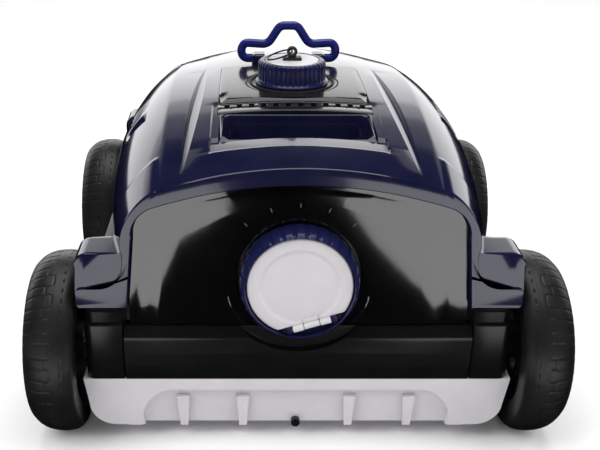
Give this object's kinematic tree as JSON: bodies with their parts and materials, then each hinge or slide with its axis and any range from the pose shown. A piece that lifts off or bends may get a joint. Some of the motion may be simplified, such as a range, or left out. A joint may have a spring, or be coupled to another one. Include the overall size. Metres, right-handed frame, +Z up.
{
  "type": "pool cleaner",
  "caption": "Four-wheeled jet-driven pool cleaner with a domed shell, turning outlet nozzles with flaps, a filter tray, a capped charging port and a lifting bail.",
  "frame": {"origin": "floor level under the middle of the body", "axes": "+Z up, X across the wheels, -Y towards the front end, the end whose nozzle faces the viewer"},
  "size_m": [0.41, 0.424, 0.2846],
  "materials": {
    "shell_navy": "gloss",
    "smoked_window": "gloss",
    "chassis_black": "satin",
    "tray_white": "satin",
    "nozzle_blue": "satin",
    "flap_white": "satin",
    "hatch_black": "gloss",
    "handle_blue": "gloss",
    "tyre_black": "matte",
    "hub_black": "satin",
    "fitting_black": "satin",
    "steel": "brushed",
    "seal_rubber": "matte",
    "motor_grey": "satin",
    "battery_wrap": "satin",
    "board_green": "satin",
    "filter_mesh": "woven"
  },
  "bodies": {
    "hull": {"top_shell": "shell_navy", "main_chassis": "chassis_black", "base_tray": "tray_white", "hatch_frame": "chassis_black", "top_hatch": "hatch_black", "hatch_grille": "hatch_black", "grip_recess": "shell_navy", "port_flange": "hatch_black", "port_seal": "seal_rubber", "charging_socket": "fitting_black", "handle_base": "shell_navy", "motor_can": "motor_grey", "motor_cradle": "chassis_black", "shaft_seals": "seal_rubber", "battery_packs": "battery_wrap", "control_board": "board_green", "filter_frame": "fitting_black", "filter_screen": "filter_mesh", "wheel_axles": "steel", "shell_screws": "steel", "hinge_pins": "steel", "skid_nub": "fitting_black", "front_window": "smoked_window", "rear_window": "smoked_window", "front_duct": "chassis_black", "rear_duct": "chassis_black"},
    "rotor": {"motor_shaft": "steel", "front_propeller": "fitting_black", "rear_propeller": "fitting_black"},
    "cap_plug": {"port_plug": "flap_white", "plug_lug": "fitting_black", "tether_ring": "steel"},
    "cap_collar": {"cap_ring": "nozzle_blue"},
    "handle": {"handle": "handle_blue"},
    "power_button": {"power_button": "fitting_black"},
    "left_latch": {"left_latch": "fitting_black"},
    "right_latch": {"right_latch": "fitting_black"},
    "front_left_wheel": {"front_left_tyre": "tyre_black", "front_left_hub": "hub_black", "front_left_hub_cap": "hub_black"},
    "front_right_wheel": {"front_right_tyre": "tyre_black", "front_right_hub": "hub_black", "front_right_hub_cap": "hub_black"},
    "front_nozzle": {"front_nozzle_ring": "nozzle_blue", "front_flap_pin": "steel", "front_flap_spring": "steel"},
    "front_flap": {"front_flap": "flap_white"},
    "front_intake_flap": {"front_intake_flap": "fitting_black"},
    "rear_left_wheel": {"rear_left_tyre": "tyre_black", "rear_left_hub": "hub_black", "rear_left_hub_cap": "hub_black"},
    "rear_right_wheel": {"rear_right_tyre": "tyre_black", "rear_right_hub": "hub_black", "rear_right_hub_cap": "hub_black"},
    "rear_nozzle": {"rear_nozzle_ring": "nozzle_blue", "rear_flap_pin": "steel", "rear_flap_spring": "steel"},
    "rear_flap": {"rear_flap": "flap_white"},
    "rear_intake_flap": {"rear_intake_flap": "fitting_black"}
  },
  "joints": [
    {"name": "front_left_wheel_spin", "type": "hinge", "parent": "hull", "child": "front_left_wheel", "pos_m": [-0.186, -0.14, 0.072], "axis": [1, 0, 0], "continuous": true},
    {"name": "front_right_wheel_spin", "type": "hinge", "parent": "hull", "child": "front_right_wheel", "pos_m": [0.186, -0.14, 0.072], "axis": [1, 0, 0], "continuous": true},
    {"name": "front_nozzle_turn", "type": "hinge", "parent": "hull", "child": "front_nozzle", "pos_m": [0, -0.18, 0.1455], "axis": [0, 1, 0], "range_deg": [-27.5, 62.5]},
    {"name": "front_flap_open", "type": "hinge", "parent": "front_nozzle", "child": "front_flap", "pos_m": [0.00932, -0.1946, 0.11593], "axis": [0.9537, 0, 0.3007], "range_deg": [0, 75], "stiffness_Nm_per_rad": 0.01, "springref_deg": -28.65},
    {"name": "front_intake_flap_open", "type": "hinge", "parent": "hull", "child": "front_intake_flap", "pos_m": [0, -0.08, 0.0225], "axis": [1, 0, 0], "range_deg": [0, 50]},
    {"name": "rear_left_wheel_spin", "type": "hinge", "parent": "hull", "child": "rear_left_wheel", "pos_m": [-0.186, 0.14, 0.072], "axis": [1, 0, 0], "continuous": true},
    {"name": "rear_right_wheel_spin", "type": "hinge", "parent": "hull", "child": "rear_right_wheel", "pos_m": [0.186, 0.14, 0.072], "axis": [1, 0, 0], "continuous": true},
    {"name": "rear_nozzle_turn", "type": "hinge", "parent": "hull", "child": "rear_nozzle", "pos_m": [0, 0.18, 0.1455], "axis": [0, -1, 0], "range_deg": [-27.5, 62.5]},
    {"name": "rear_flap_open", "type": "hinge", "parent": "rear_nozzle", "child": "rear_flap", "pos_m": [-0.00932, 0.1946, 0.11593], "axis": [-0.9537, 0, 0.3007], "range_deg": [0, 75], "stiffness_Nm_per_rad": 0.01, "springref_deg": -28.65},
    {"name": "rear_intake_flap_open", "type": "hinge", "parent": "hull", "child": "rear_intake_flap", "pos_m": [0, 0.08, 0.0225], "axis": [-1, 0, 0], "range_deg": [0, 50]},
    {"name": "rotor_spin", "type": "hinge", "parent": "hull", "child": "rotor", "pos_m": [0, 0, 0.1455], "axis": [0, 1, 0], "continuous": true},
    {"name": "plug_lift", "type": "slide", "parent": "hull", "child": "cap_plug", "axis": [0, 0, 1], "range_m": [0, 0.0081]},
    {"name": "cap_turn", "type": "hinge", "parent": "cap_plug", "child": "cap_collar", "pos_m": [0, -0.006, 0.258], "axis": [0, 0, 1], "range_deg": [0, 720]},
    {"name": "handle_swing", "type": "hinge", "parent": "hull", "child": "handle", "pos_m": [0, 0.068, 0.2505], "axis": [1, 0, 0], "range_deg": [-85, 60]},
    {"name": "power_button_press", "type": "slide", "parent": "hull", "child": "power_button", "axis": [0, 0, -1], "range_m": [0, 0.0015], "stiffness_N_per_m": 800, "springref_m": -0.0005},
    {"name": "right_latch_open", "type": "hinge", "parent": "hull", "child": "right_latch", "pos_m": [0.168, 0, 0.048], "axis": [0, 1, 0], "range_deg": [0, 60]},
    {"name": "left_latch_open", "type": "hinge", "parent": "hull", "child": "left_latch", "pos_m": [-0.168, 0, 0.048], "axis": [0, -1, 0], "range_deg": [0, 60]}
  ],
  "couplings": [
    {"joint": "plug_lift", "follows": "cap_turn", "m_per_rad": 0.00063662}
  ]
}
